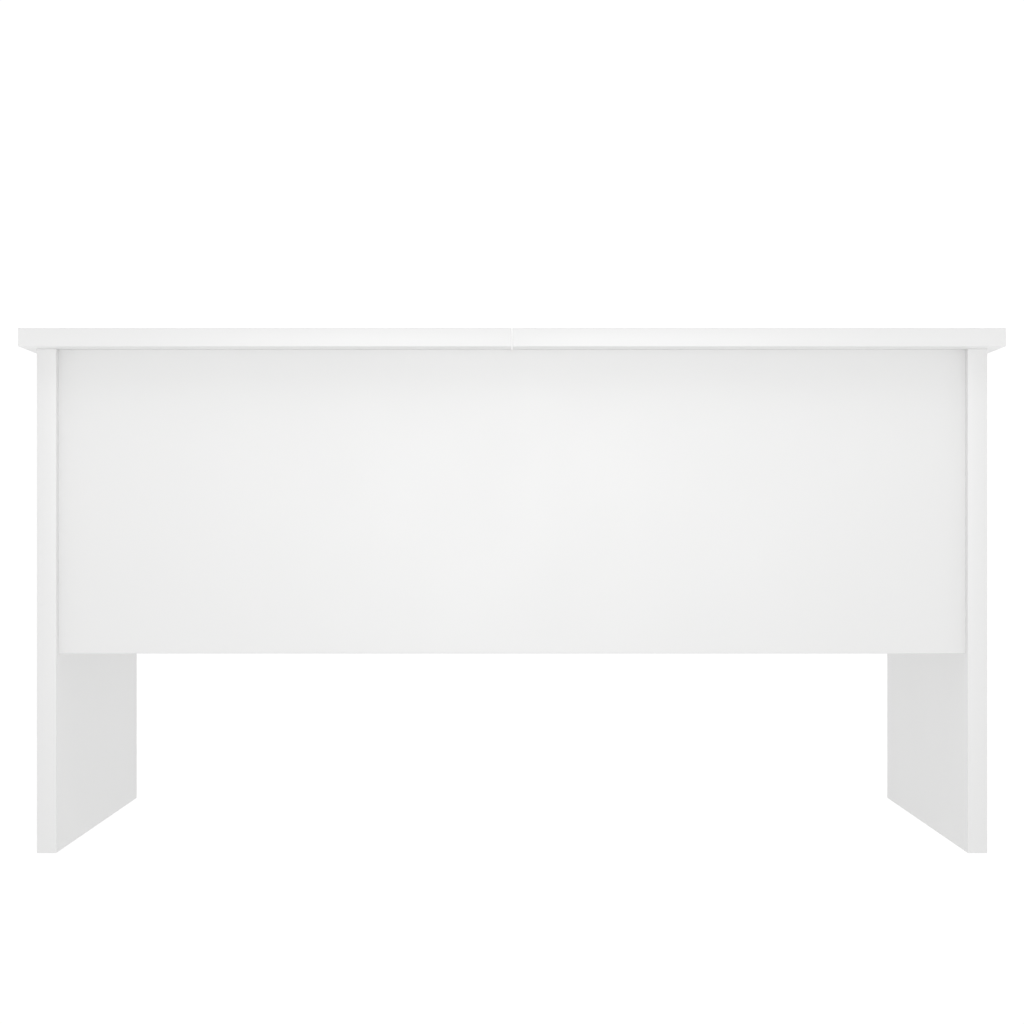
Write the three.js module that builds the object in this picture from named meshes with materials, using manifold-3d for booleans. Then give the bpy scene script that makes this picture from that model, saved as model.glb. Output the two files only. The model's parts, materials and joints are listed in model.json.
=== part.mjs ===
// Lift top coffee table: two half tops over a box with two bays, carried by two end panels.
// Each half top stands on two lift fittings, one on its end panel and one on the centre divider.
// Millimetres, +Z up, front towards -Y, the middle of the footprint at the origin, tops closed.
import * as THREE from 'three';
import { mergeVertices } from 'three/addons/utils/BufferGeometryUtils.js';
import Module from 'manifold-3d';

const wasm = await Module();
wasm.setup();

// The whole table
const width = 800;
const depth = 500;
const height = 430;
const boardThickness = 15;
const endThickness = 16; // of the end panels, which carry the table

// Tops
const sideOverhang = 10.5; // of a top past its end panel
const frontOverhang = 25; // of a top past the end panels' front edges, and the same at the back
const seamGap = 1; // between the two half tops
const topClearance = 0.3; // between the upright boards and the tops, which rest on bumpers
const bumperHeight = 2; // set into the boards, and proud of them by the clearance
const bumperRadius = 4;
const bumperPlay = 0.1; // in its seat
const bumperInset = 20; // from its board's front or back edge

// Box and end panels
const boxHeight = 250; // of the front and back panels
const panelSetBack = 10; // of the front panel behind the end panels' front edges
const glideHeight = 1.5;
const glideRadius = 4.5;
const glideInset = 32; // from the end panels' front and back edges
const glidePinRadius = 1.5;
const glidePinLength = 10;

// Lift fittings: sheet metal, in layers inwards from the board that each is screwed to
const plateThickness = 2.5; // of the base brackets and the top rails
const armThickness = 3;
const armWidth = 18;
const slip = 0.3; // between layers that turn past each other
const pivotBehindPanel = 40; // of the front base pivot behind the front panel
const topPivotDrop = 15; // of the front top pivot below the top
const linkLength = 70; // between a fitting's two base pivots, and its two top pivots
const linkAngle = 150; // of the line from the rear base pivot to the front one
const restAngle = 10; // of the arms above level, tops closed
const liftAngle = 100; // that the arms turn
const railEndGap = 53; // between the top rail and the back panel
const railTail = 20; // of the top rail behind its rear pivot
const railFrontGap = 15; // between the top rail and the front panel
const railDrop = 20; // height of the rail's web at the front
const flangeWidth = 26;
const bossRadius = 11; // metal around the pivots
const bracketMargin = 28; // of the base bracket around its pivots
const bracketTopGap = 13; // between the base bracket and the top
const stopDrop = 8; // of the stop's middle below the base bracket's upper edge
const stopLength = 16;
const stopThickness = 3;

// Pivot pins
const tenonRadius = 3; // riveted into the sheet
const shoulderRadius = 4; // the arm turns on it
const headRadius = 7;
const headThickness = 2;
const rivetRadius = 4.5;
const rivetThickness = 1.2;
const tenonPlay = 0.1;
const pinPlay = 0.2;
const openPivotPlay = 0.5; // at the front top pivots

// Torsion springs
const wireRadius = 1.4;
const coilRadius = 10.5; // to the middle of the wire
const coilTurns = 5;
const coilPitch = 3;
const coilPlay = 1.5; // inside the coil, over its core
const legReach = 45; // of the leg that pushes the arm, from the pivot
const anchorReach = 32; // of the leg that holds on to the base bracket
const anchorAngle = 200;
const wireBend = 3;
const wirePlay = 0.2;

// Screws
const screwRadius = 2.2;
const bracketEdge = 11; // from a bracket's edges to its screws

// Facets
const pinSides = 20;
const screwSides = 8;
const cornerSteps = 6;
const wireSides = 6;
const coilSteps = 12;

// Places worked out from the sizes
const topUnderside = height - boardThickness;
const uprightTop = topUnderside - topClearance;
const bumperFoot = topUnderside - bumperHeight;
const endOuterX = width / 2 - sideOverhang;
const endInnerX = endOuterX - endThickness;
const endMiddleX = endOuterX - endThickness / 2;
const endHalfDepth = depth / 2 - frontOverhang;
const boxOuterY = endHalfDepth - panelSetBack;
const boxInnerY = boxOuterY - boardThickness;
const boxBottom = uprightTop - boxHeight;
const floorTop = boxBottom + boardThickness;

const armNear = plateThickness + slip;
const armFar = armNear + armThickness;
const webNear = armFar + slip;
const webFar = webNear + plateThickness;

// Pivots as [y, z], all in one side plane
const linkVector = polar(linkAngle, linkLength);
const frontBaseY = pivotBehindPanel - boxInnerY;
const rearBaseY = frontBaseY - linkVector[0];
const rearTopY = boxInnerY - railEndGap - railTail;
const armLength = (rearTopY - rearBaseY) / Math.cos(radians(restAngle));
const armVector = polar(restAngle, armLength);
const frontTopZ = topUnderside - topPivotDrop;
const frontBase = [frontBaseY, frontTopZ - armVector[1]];
const rearBase = minus(frontBase, linkVector);
const rearTop = plus(rearBase, armVector);
const frontTop = plus(frontBase, armVector);

function radians(angle) {
  return (angle * Math.PI) / 180;
}

function polar(angle, length) {
  return [length * Math.cos(radians(angle)), length * Math.sin(radians(angle))];
}

function plus(a, b) {
  return [a[0] + b[0], a[1] + b[1]];
}

function minus(a, b) {
  return [a[0] - b[0], a[1] - b[1]];
}

// Materials

function whiteMelamine() {
  return new THREE.MeshStandardMaterial({ color: '#f1f1f0', roughness: 0.5, metalness: 0 });
}

function zincSteel() {
  return new THREE.MeshStandardMaterial({ color: '#b4b8bd', roughness: 0.35, metalness: 1 });
}

function pinSteel() {
  return new THREE.MeshStandardMaterial({ color: '#8d9196', roughness: 0.3, metalness: 1 });
}

function springSteel() {
  return new THREE.MeshStandardMaterial({ color: '#4b4d50', roughness: 0.4, metalness: 1 });
}

function clearRubber() {
  return new THREE.MeshStandardMaterial({ color: '#dedfdd', roughness: 0.6, metalness: 0 });
}

function whiteNylon() {
  return new THREE.MeshStandardMaterial({ color: '#e9e9e6', roughness: 0.55, metalness: 0 });
}

// Solids

// a closed solid that can be joined and cut
function solid(geometry) {
  geometry.deleteAttribute('normal');
  geometry.deleteAttribute('uv');
  const merged = mergeVertices(geometry, 1e-4);
  const corners = merged.index.array;
  const faces = [];
  for (let i = 0; i < corners.length; i += 3) {
    const [a, b, c] = corners.slice(i, i + 3);
    if (a !== b && b !== c && c !== a) faces.push(a, b, c);
  }
  return new wasm.Manifold(
    new wasm.Mesh({
      numProp: 3,
      vertProperties: new Float32Array(merged.attributes.position.array),
      triVerts: new Uint32Array(faces),
    }),
  );
}

function meshOf(name, body, material) {
  const found = body.getMesh();
  const geometry = new THREE.BufferGeometry();
  geometry.setAttribute('position', new THREE.BufferAttribute(found.vertProperties, 3));
  geometry.setIndex(new THREE.BufferAttribute(found.triVerts, 1));
  geometry.computeVertexNormals();
  const mesh = new THREE.Mesh(geometry, material);
  mesh.name = name;
  return mesh;
}

function box(x0, x1, y0, y1, z0, z1) {
  const geometry = new THREE.BoxGeometry(x1 - x0, y1 - y0, z1 - z0);
  geometry.translate((x0 + x1) / 2, (y0 + y1) / 2, (z0 + z1) / 2);
  return solid(geometry);
}

// a round bar along X at [y, z], with a radius at each end
function rod(at, x0, x1, radius, endRadius = radius, sides = pinSides) {
  const geometry = new THREE.CylinderGeometry(endRadius, radius, x1 - x0, sides);
  geometry.rotateZ(-Math.PI / 2);
  geometry.translate((x0 + x1) / 2, at[0], at[1]);
  return solid(geometry);
}

// a round bar along Z at [x, y]
function post(at, z0, z1, radius, endRadius = radius, sides = pinSides) {
  const geometry = new THREE.CylinderGeometry(endRadius, radius, z1 - z0, sides);
  geometry.rotateX(Math.PI / 2);
  geometry.translate(at[0], at[1], (z0 + z1) / 2);
  return solid(geometry);
}

// a pin turned about X at [y, z], from a profile of [x, radius]
function turned(at, profile) {
  const first = profile[0][0];
  const last = profile[profile.length - 1][0];
  const points = [[first, 0], ...profile, [last, 0]].map(([x, r]) => new THREE.Vector2(r, x));
  const geometry = new THREE.LatheGeometry(points, pinSides);
  geometry.rotateZ(-Math.PI / 2);
  geometry.translate(0, at[0], at[1]);
  return solid(geometry);
}

// points around a polygon of [y, z, corner radius], with an arc at each corner
function rounded(corners) {
  const points = [];
  corners.forEach(([y, z, radius], i) => {
    const here = new THREE.Vector2(y, z);
    const last = corners[(i + corners.length - 1) % corners.length];
    const next = corners[(i + 1) % corners.length];
    const back = new THREE.Vector2(last[0], last[1]).sub(here).normalize();
    const on = new THREE.Vector2(next[0], next[1]).sub(here).normalize();
    const half = Math.acos(back.dot(on)) / 2;
    const middle = back.clone().add(on).normalize().multiplyScalar(radius / Math.sin(half));
    const from = back.clone().multiplyScalar(radius / Math.tan(half)).sub(middle);
    const sweep = (Math.PI - 2 * half) * -Math.sign(back.cross(on));
    for (let k = 0; k <= cornerSteps; k += 1) {
      const spoke = from.clone().rotateAround(new THREE.Vector2(), (sweep * k) / cornerSteps);
      points.push(spoke.add(middle).add(here));
    }
  });
  return points.filter((p, i) => p.distanceTo(points[(i + 1) % points.length]) > 1e-4);
}

// sheet metal of a rounded outline in [y, z], from x0 to x1
function sheet(corners, x0, x1) {
  const shape = new THREE.Shape(rounded(corners));
  const geometry = new THREE.ExtrudeGeometry(shape, { depth: x1 - x0, bevelEnabled: false });
  const axes = [new THREE.Vector3(0, 1, 0), new THREE.Vector3(0, 0, 1), new THREE.Vector3(1, 0, 0)];
  geometry.applyMatrix4(new THREE.Matrix4().makeBasis(...axes));
  geometry.translate(x0, 0, 0);
  return solid(geometry);
}

// a body turned about X through the origin, then moved to [y, z]
function turnedTo(body, angle, at) {
  return body.rotate([angle, 0, 0]).translate([0, at[0], at[1]]);
}

function cut(body, holes) {
  return holes.reduce((left, hole) => left.subtract(hole), body);
}

// a wire along a path of points, closed at both ends
function wire(path) {
  const tangents = path.map((p, i) => {
    const ahead = path[Math.min(i + 1, path.length - 1)];
    return ahead.clone().sub(path[Math.max(i - 1, 0)]).normalize();
  });
  const across = new THREE.Vector3(0, 0, 1).cross(tangents[0]).normalize();
  const positions = [];
  path.forEach((p, i) => {
    if (i > 0) {
      const turn = new THREE.Quaternion().setFromUnitVectors(tangents[i - 1], tangents[i]);
      across.applyQuaternion(turn);
    }
    for (let k = 0; k < wireSides; k += 1) {
      const spoke = across.clone().applyAxisAngle(tangents[i], (2 * Math.PI * k) / wireSides);
      positions.push(...spoke.multiplyScalar(wireRadius).add(p));
    }
  });
  positions.push(...path[0], ...path[path.length - 1]);

  const last = (path.length - 1) * wireSides;
  const startCentre = path.length * wireSides;
  const faces = [];
  for (let k = 0; k < wireSides; k += 1) {
    const next = (k + 1) % wireSides;
    for (let ring = 0; ring < last; ring += wireSides) {
      const above = ring + wireSides;
      faces.push(ring + k, ring + next, above + next, ring + k, above + next, above + k);
    }
    faces.push(startCentre, next, k, startCentre + 1, last + k, last + next);
  }
  const geometry = new THREE.BufferGeometry();
  geometry.setAttribute('position', new THREE.Float32BufferAttribute(positions, 3));
  geometry.setIndex(faces);
  return solid(geometry);
}

// a smooth corner at b of a wire that comes from a and goes to c
function wireCorner(a, b, c) {
  const start = a.clone().sub(b).setLength(wireBend).add(b);
  const end = c.clone().sub(b).setLength(wireBend).add(b);
  return new THREE.QuadraticBezierCurve3(start, b, end).getPoints(3);
}

// Boards

function halfTop(name, side) {
  const inner = (side * seamGap) / 2;
  const outer = (side * width) / 2;
  const ends = [Math.min(inner, outer), Math.max(inner, outer)];
  const body = box(...ends, -depth / 2, depth / 2, topUnderside, height);
  return meshOf(name, body, whiteMelamine());
}

function endPanel(name, side) {
  const ends = side < 0 ? [-endOuterX, -endInnerX] : [endInnerX, endOuterX];
  const body = box(...ends, -endHalfDepth, endHalfDepth, glideHeight, uprightTop);
  const pinHoles = glidePlaces(side).map((at) => {
    const holeTop = glideHeight + glidePinLength + tenonPlay;
    return post(at, 0, holeTop, glidePinRadius + tenonPlay, undefined, screwSides);
  });
  const seats = bumperPlaces(side * endMiddleX, endHalfDepth).map(bumperSeat);
  return meshOf(name, cut(body, [...pinHoles, ...seats]), whiteMelamine());
}

function crossPanel(name, side) {
  const faces = side < 0 ? [-boxOuterY, -boxInnerY] : [boxInnerY, boxOuterY];
  const body = box(-endInnerX, endInnerX, ...faces, boxBottom, uprightTop);
  return meshOf(name, body, whiteMelamine());
}

function bottomPanel() {
  const body = box(-endInnerX, endInnerX, -boxInnerY, boxInnerY, boxBottom, floorTop);
  return meshOf('bottom_panel', body, whiteMelamine());
}

function centreDivider() {
  const half = boardThickness / 2;
  const body = box(-half, half, -boxInnerY, boxInnerY, floorTop, uprightTop);
  const seats = bumperPlaces(0, boxInnerY).map(bumperSeat);
  return meshOf('centre_divider', cut(body, seats), whiteMelamine());
}

// Small rests

function glidePlaces(side) {
  const reach = endHalfDepth - glideInset;
  return [-1, 1].map((end) => [side * endMiddleX, end * reach]);
}

function glides() {
  return [-1, 1].flatMap((side) =>
    glidePlaces(side).map((at, i) => {
      const name = `glide_${side < 0 ? 'left' : 'right'}_${i ? 'rear' : 'front'}`;
      const foot = post(at, 0, glideHeight, glideRadius, glideRadius * 0.85);
      const pinTop = glideHeight + glidePinLength;
      const pin = post(at, glideHeight / 2, pinTop, glidePinRadius, undefined, screwSides);
      return meshOf(name, foot.add(pin), whiteNylon());
    }),
  );
}

// the front and the rear one on an upright board
function bumperPlaces(x, boardHalfDepth) {
  return [-1, 1].map((end) => [x, end * (boardHalfDepth - bumperInset)]);
}

function bumperSeat(at) {
  return post(at, bumperFoot, topUnderside, bumperRadius + bumperPlay);
}

function bumpers() {
  const places = {
    left: bumperPlaces(-endMiddleX, endHalfDepth),
    centre: bumperPlaces(0, boxInnerY),
    right: bumperPlaces(endMiddleX, endHalfDepth),
  };
  return Object.entries(places).flatMap(([row, pair]) =>
    pair.map((at, i) => {
      const body = post(at, bumperFoot, topUnderside, bumperRadius, bumperRadius * 0.8);
      return meshOf(`bumper_${row}_${i ? 'rear' : 'front'}`, body, clearRubber());
    }),
  );
}

// Lift fitting: every function below builds for a board face at x = 0 with the bay towards +X

function baseBracket() {
  const frontY = frontBase[0] - bracketMargin;
  const rearY = rearBase[0] + bracketMargin + bossRadius;
  const lowZ = rearBase[1] - bracketMargin - bossRadius;
  const highZ = topUnderside - bracketTopGap;
  const midZ = rearBase[1] + bossRadius;
  const outline = [
    [frontY, lowZ, 8],
    [rearY, lowZ, 8],
    [rearY, midZ, 12],
    [frontBase[0] + bracketMargin, highZ, 12],
    [frontY, highZ, 8],
  ];
  const plate = sheet(outline, 0, plateThickness);

  // the stop bar lies along the front edge of the raised front arm
  const openAngle = restAngle + liftAngle;
  const stopAside = polar(openAngle + 90, armWidth / 2 + slip + stopThickness / 2);
  const stopRise = highZ - stopDrop - frontBase[1] - stopAside[1];
  const stopReach = stopRise / Math.sin(radians(openAngle));
  const stopPlace = plus(plus(frontBase, polar(openAngle, stopReach)), stopAside);
  const stopHalf = stopLength / 2;
  const stopSide = stopThickness / 2;
  const stopBar = box(plateThickness / 2, armFar - slip, -stopHalf, stopHalf, -stopSide, stopSide);
  const stop = turnedTo(stopBar, openAngle, stopPlace);

  const pinHoles = [frontBase, rearBase].map((at) => throughHole(at, tenonRadius + tenonPlay));
  const wireHole = throughHole(anchorPlace(), wireRadius + wirePlay);
  const screwHoles = bracketScrews(frontY, rearY, lowZ).map((at) => throughHole(at, screwRadius));
  return cut(plate.add(stop), [...pinHoles, wireHole, ...screwHoles]);
}

function bracketScrews(frontY, rearY, lowZ) {
  const lowRow = lowZ + bracketEdge;
  const middleY = (frontY + rearY) / 2;
  return [
    [frontY + bracketEdge, lowRow],
    [middleY, lowRow],
    [rearY - bracketEdge, lowRow],
    [frontY + bracketEdge, frontBase[1] - bossRadius],
    [rearBase[0] - bossRadius, frontBase[1] + bossRadius],
  ];
}

function throughHole(at, radius) {
  const sides = radius < tenonRadius ? screwSides : pinSides;
  return rod(at, -1, webFar + 1, radius, radius, sides);
}

function anchorPlace() {
  return plus(rearBase, polar(anchorAngle, anchorReach));
}

// an arm that lies along its own +Y from the base pivot, turned to its place at rest
function arm(base, topRadius, extraHoles) {
  const half = armWidth / 2;
  const outline = [
    [-half, -half, half],
    [armLength + half, -half, half],
    [armLength + half, half, half],
    [-half, half, half],
  ];
  const holes = [
    throughHole([0, 0], shoulderRadius + pinPlay),
    throughHole([armLength, 0], topRadius),
    ...extraHoles,
  ];
  return turnedTo(cut(sheet(outline, armNear, armFar), holes), restAngle, base);
}

function rearArm() {
  const wireHole = throughHole([legReach, 0], wireRadius + wirePlay);
  return arm(rearBase, shoulderRadius + pinPlay, [wireHole]);
}

function frontArm() {
  return arm(frontBase, shoulderRadius + openPivotPlay, []);
}

function railScrews() {
  const x = webNear + flangeWidth * 0.62;
  const front = railFrontGap - boxInnerY + bracketEdge;
  const rear = rearTop[0] + railTail - bracketEdge;
  const step = (rear - front) / 3;
  return [0, 1, 2, 3].map((k) => [x, front + k * step]);
}

function topRail() {
  const frontY = railFrontGap - boxInnerY;
  const rearY = rearTop[0] + railTail;
  const outline = [
    [frontY, topUnderside, 0.5],
    [frontY, topUnderside - railDrop, 8],
    [frontTop[0] - 2 * bossRadius, topUnderside - railDrop, 10],
    [frontTop[0], frontTop[1] - bossRadius, 14],
    [rearTop[0] - bossRadius, rearTop[1] - bossRadius, bossRadius],
    [rearY, rearTop[1] - bossRadius, bossRadius],
    [rearY, topUnderside, 0.5],
  ];
  const web = sheet(outline, webNear, webFar);
  const flangeEdge = webNear + flangeWidth;
  const flangeLow = topUnderside - plateThickness;
  const flange = box(webNear, flangeEdge, frontY, rearY, flangeLow, topUnderside);
  const pinHoles = [frontTop, rearTop].map((at) => throughHole(at, tenonRadius + tenonPlay));
  const screwHoles = railScrews().map((at) =>
    post(at, flangeLow - 1, topUnderside + 1, screwRadius, screwRadius, screwSides),
  );
  return cut(web.add(flange), [...pinHoles, ...screwHoles]);
}

// riveted into the base bracket, flush at the board
function basePin(at) {
  return turned(at, [
    [slip, tenonRadius],
    [plateThickness, tenonRadius],
    [plateThickness, shoulderRadius],
    [webNear, shoulderRadius],
    [webNear, headRadius],
    [webNear + headThickness, headRadius * 0.8],
  ]);
}

function coilStart() {
  return webNear + slip + wireRadius;
}

function coilSweep() {
  const leave = anchorAngle - degreesToTangent(anchorReach);
  const meet = restAngle + degreesToTangent(legReach);
  return { meet, leave: leave + 360 * coilTurns };
}

// angle at the pivot between a point at this reach and where its tangent meets the coil
function degreesToTangent(reach) {
  return (Math.acos(coilRadius / reach) * 180) / Math.PI;
}

function coilEnd() {
  const { meet, leave } = coilSweep();
  return coilStart() + (coilPitch * (leave - meet)) / 360;
}

// the rear base pin goes on inwards as the spring's core
function springPin() {
  const coreEnd = coilEnd() + wireRadius + 2 * slip;
  const coreRadius = coilRadius - wireRadius - coilPlay;
  const capRadius = coilRadius + wireRadius;
  return turned(rearBase, [
    [slip, tenonRadius],
    [plateThickness, tenonRadius],
    [plateThickness, shoulderRadius],
    [webNear, shoulderRadius],
    [webNear, coreRadius],
    [coreEnd, coreRadius],
    [coreEnd, capRadius],
    [coreEnd + headThickness, capRadius * 0.9],
  ]);
}

// riveted into the top rail, its head between the arm and the board
function topPin(at) {
  const headEnd = armNear - slip;
  return turned(at, [
    [headEnd - headThickness, headRadius * 0.9],
    [headEnd, headRadius],
    [headEnd, shoulderRadius],
    [webNear, shoulderRadius],
    [webNear, tenonRadius],
    [webFar, tenonRadius],
    [webFar, rivetRadius],
    [webFar + rivetThickness, rivetRadius * 0.7],
  ]);
}

// one wire: a hook in the arm, a leg to the coil, the coil, a leg out, a hook in the bracket
function torsionSpring() {
  const { meet, leave } = coilSweep();
  const legX = coilStart();
  const outX = coilEnd();
  const inPlane = (x, at) => new THREE.Vector3(x, at[0], at[1]);
  const push = plus(rearBase, polar(restAngle, legReach));
  const anchor = anchorPlace();

  const coil = [];
  const count = Math.ceil(((leave - meet) / 360) * coilSteps);
  for (let k = 0; k <= count; k += 1) {
    const share = k / count;
    const at = plus(rearBase, polar(meet + share * (leave - meet), coilRadius));
    coil.push(inPlane(legX + share * (outX - legX), at));
  }
  const armHook = inPlane(armNear + slip, push);
  const bracketHook = inPlane(slip, anchor);
  const path = [
    armHook,
    ...wireCorner(armHook, inPlane(legX, push), coil[0]),
    ...coil,
    ...wireCorner(coil[coil.length - 1], inPlane(outX, anchor), bracketHook),
    bracketHook,
  ];
  return wire(path);
}

// a whole fitting on the board face at faceX, its bay towards side
function liftFitting(tag, faceX, side) {
  const pieces = [
    ['base_bracket', baseBracket(), zincSteel()],
    ['rear_arm', rearArm(), zincSteel()],
    ['front_arm', frontArm(), zincSteel()],
    ['top_rail', topRail(), zincSteel()],
    ['rear_base_pin', springPin(), pinSteel()],
    ['front_base_pin', basePin(frontBase), pinSteel()],
    ['rear_top_pin', topPin(rearTop), pinSteel()],
    ['front_top_pin', topPin(frontTop), pinSteel()],
    ['torsion_spring', torsionSpring(), springSteel()],
  ];
  return pieces.map(([name, body, material]) => {
    const facing = side < 0 ? body.mirror([1, 0, 0]) : body;
    return meshOf(`${name}_${tag}`, facing.translate([faceX, 0, 0]), material);
  });
}

const table = new THREE.Group();
table.name = 'lift_top_coffee_table';
const dividerX = boardThickness / 2;
table.add(
  halfTop('top_left', -1),
  halfTop('top_right', 1),
  endPanel('end_panel_left', -1),
  endPanel('end_panel_right', 1),
  crossPanel('front_panel', -1),
  crossPanel('back_panel', 1),
  bottomPanel(),
  centreDivider(),
  ...glides(),
  ...bumpers(),
  ...liftFitting('left_outer', -endInnerX, 1),
  ...liftFitting('left_inner', -dividerX, -1),
  ...liftFitting('right_inner', dividerX, 1),
  ...liftFitting('right_outer', endInnerX, -1),
);

export default table;
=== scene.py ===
import json
import math

import bmesh
import bpy
import numpy as np
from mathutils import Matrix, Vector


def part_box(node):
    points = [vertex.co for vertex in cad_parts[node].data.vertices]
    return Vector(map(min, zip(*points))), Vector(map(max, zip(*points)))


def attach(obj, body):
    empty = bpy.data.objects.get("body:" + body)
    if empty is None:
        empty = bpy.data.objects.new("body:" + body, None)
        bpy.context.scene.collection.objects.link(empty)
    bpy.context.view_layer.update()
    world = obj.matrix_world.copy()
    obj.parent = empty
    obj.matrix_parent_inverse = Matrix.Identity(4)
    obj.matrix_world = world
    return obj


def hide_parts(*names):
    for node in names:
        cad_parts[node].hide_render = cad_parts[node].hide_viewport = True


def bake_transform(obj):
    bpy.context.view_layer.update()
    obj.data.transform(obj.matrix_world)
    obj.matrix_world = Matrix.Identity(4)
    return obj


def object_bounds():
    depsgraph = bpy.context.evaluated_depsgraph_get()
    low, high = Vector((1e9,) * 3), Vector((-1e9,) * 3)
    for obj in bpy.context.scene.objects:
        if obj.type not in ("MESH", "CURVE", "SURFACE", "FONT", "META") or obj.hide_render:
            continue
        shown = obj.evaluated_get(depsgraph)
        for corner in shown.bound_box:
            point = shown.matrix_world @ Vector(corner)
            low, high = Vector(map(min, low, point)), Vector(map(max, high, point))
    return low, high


# Lift top coffee table in white melamine: two half tops that lift on sprung steel fittings.
# Metres, front towards -Y, floor at z = 0. Sizes and places come from the frame.

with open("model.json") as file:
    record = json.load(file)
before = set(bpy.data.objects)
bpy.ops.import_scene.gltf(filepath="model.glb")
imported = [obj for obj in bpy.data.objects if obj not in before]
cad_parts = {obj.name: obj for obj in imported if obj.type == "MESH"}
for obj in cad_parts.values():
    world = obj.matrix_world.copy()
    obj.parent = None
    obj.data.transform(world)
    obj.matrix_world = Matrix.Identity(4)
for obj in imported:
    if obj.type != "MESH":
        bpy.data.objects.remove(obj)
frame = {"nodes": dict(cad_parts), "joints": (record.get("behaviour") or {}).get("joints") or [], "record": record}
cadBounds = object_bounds()
mm = 0.001
weldDistance = 0.001 * mm  # places closer than this become one


def smoothStep(low, high, value):
    # 0 below low, 1 above high, an S curve between
    share = np.clip((value - low) / (high - low), 0, 1)
    return share * share * (3 - 2 * share)


def quarterRound(radius, steps):
    # inset and drop along a rounded edge, from the flat round to the side: the radius less its
    # sine, and less its cosine
    turn = np.linspace(0, math.pi / 2, steps)
    return radius * (1 - np.sin(turn)), radius * (1 - np.cos(turn))


def gridFaces(rows, columns, closeRows=False, closeColumns=True):
    # one quad for each cell of a grid of points, wrapped round where it closes
    row, column = np.meshgrid(
        np.arange(rows if closeRows else rows - 1),
        np.arange(columns if closeColumns else columns - 1), indexing="ij")
    nextRow, nextColumn = (row + 1) % rows, (column + 1) % columns
    quads = [row * columns + column, row * columns + nextColumn,
             nextRow * columns + nextColumn, nextRow * columns + column]
    return np.stack(quads, -1).reshape(-1, 4)


def surface(name, points, material, closeRows=False, closeColumns=True, sharpAngle=35, marks=None):
    # a mesh over a grid of points [row, column, xyz], or over several such grids of one size;
    # rows that shrink to a point become poles
    points = np.asarray(points, float)
    rows, columns = points.shape[-3:-1]
    copies = points.size // (3 * rows * columns)
    mesh = bpy.data.meshes.new(name)
    faces = gridFaces(rows, columns, closeRows, closeColumns)
    faces = (faces + np.arange(copies)[:, None, None] * rows * columns).reshape(-1, 4)
    mesh.from_pydata(points.reshape(-1, 3).tolist(), [], faces.tolist())
    for markName, values in (marks or {}).items():
        layer = mesh.attributes.new(markName, "FLOAT", "POINT")
        layer.data.foreach_set("value", np.asarray(values, np.float32).reshape(-1))
    shell = bmesh.new()
    shell.from_mesh(mesh)
    bmesh.ops.remove_doubles(shell, verts=shell.verts, dist=weldDistance)
    bmesh.ops.recalc_face_normals(shell, faces=shell.faces)
    shell.to_mesh(mesh)
    shell.free()
    mesh.polygons.foreach_set("use_smooth", np.ones(len(mesh.polygons), bool))
    mesh.set_sharp_from_angle(angle=math.radians(sharpAngle))
    mesh.materials.append(material)
    piece = bpy.data.objects.new(name, mesh)
    bpy.context.scene.collection.objects.link(piece)
    return piece


def newMaterial(name, kind="ShaderNodeBsdfPrincipled"):
    # a node tree with one shader, and its object coordinates
    material = bpy.data.materials.new(name)
    material.use_nodes = True
    tree = material.node_tree
    tree.nodes.clear()
    output = tree.nodes.new("ShaderNodeOutputMaterial")
    shader = tree.nodes.new(kind)
    tree.links.new(shader.outputs[0], output.inputs["Surface"])
    place = tree.nodes.new("ShaderNodeTexCoord").outputs["Object"]
    return material, tree, shader, place


def addNoise(tree, place, scale, detail=2.0, roughness=0.5, stretch=(1, 1, 1)):
    # a cloud of grey whose grain is 1 / scale metres, drawn out along the axes by stretch
    mapping = tree.nodes.new("ShaderNodeMapping")
    mapping.inputs["Scale"].default_value = stretch
    tree.links.new(place, mapping.inputs["Vector"])
    noise = tree.nodes.new("ShaderNodeTexNoise")
    noise.inputs["Scale"].default_value = scale
    noise.inputs["Detail"].default_value = detail
    noise.inputs["Roughness"].default_value = roughness
    tree.links.new(mapping.outputs["Vector"], noise.inputs["Vector"])
    return noise.outputs["Fac"]


def addRange(tree, value, low, high, fromLow=0.3, fromHigh=0.7):
    # the value's middle stretch spread over low to high
    spread = tree.nodes.new("ShaderNodeMapRange")
    spread.inputs["From Min"].default_value = fromLow
    spread.inputs["From Max"].default_value = fromHigh
    spread.inputs["To Min"].default_value = low
    spread.inputs["To Max"].default_value = high
    tree.links.new(value, spread.inputs["Value"])
    return spread.outputs["Result"]


def addMix(tree, share, first, second):
    # a colour between two, each a colour or a socket
    mix = tree.nodes.new("ShaderNodeMix")
    mix.data_type = "RGBA"
    tree.links.new(share, mix.inputs["Factor"])
    for socket, colour in (("A", first), ("B", second)):
        target = [s for s in mix.inputs if s.name == socket and s.type == "RGBA"][0]
        if isinstance(colour, tuple):
            target.default_value = (*colour, 1)
        else:
            tree.links.new(colour, target)
    return [s for s in mix.outputs if s.type == "RGBA"][0]


def addMark(tree, name):
    # the value that each place of a mesh carries under this name
    mark = tree.nodes.new("ShaderNodeAttribute")
    mark.attribute_name = name
    return mark.outputs["Fac"]


def addPaintedShade(tree, colour, dark):
    # the colour, darkened by painted shade where its mark is: in the recesses of the crosses
    return addMix(tree, addMark(tree, "soiled"), colour, dark)


def addBump(tree, height, strength, distance, under=None):
    # a bump of this height, on top of another bump where one is given
    bump = tree.nodes.new("ShaderNodeBump")
    bump.inputs["Strength"].default_value = strength
    bump.inputs["Distance"].default_value = distance
    tree.links.new(height, bump.inputs["Height"])
    if under is not None:
        tree.links.new(under, bump.inputs["Normal"])
    return bump.outputs["Normal"]


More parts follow.
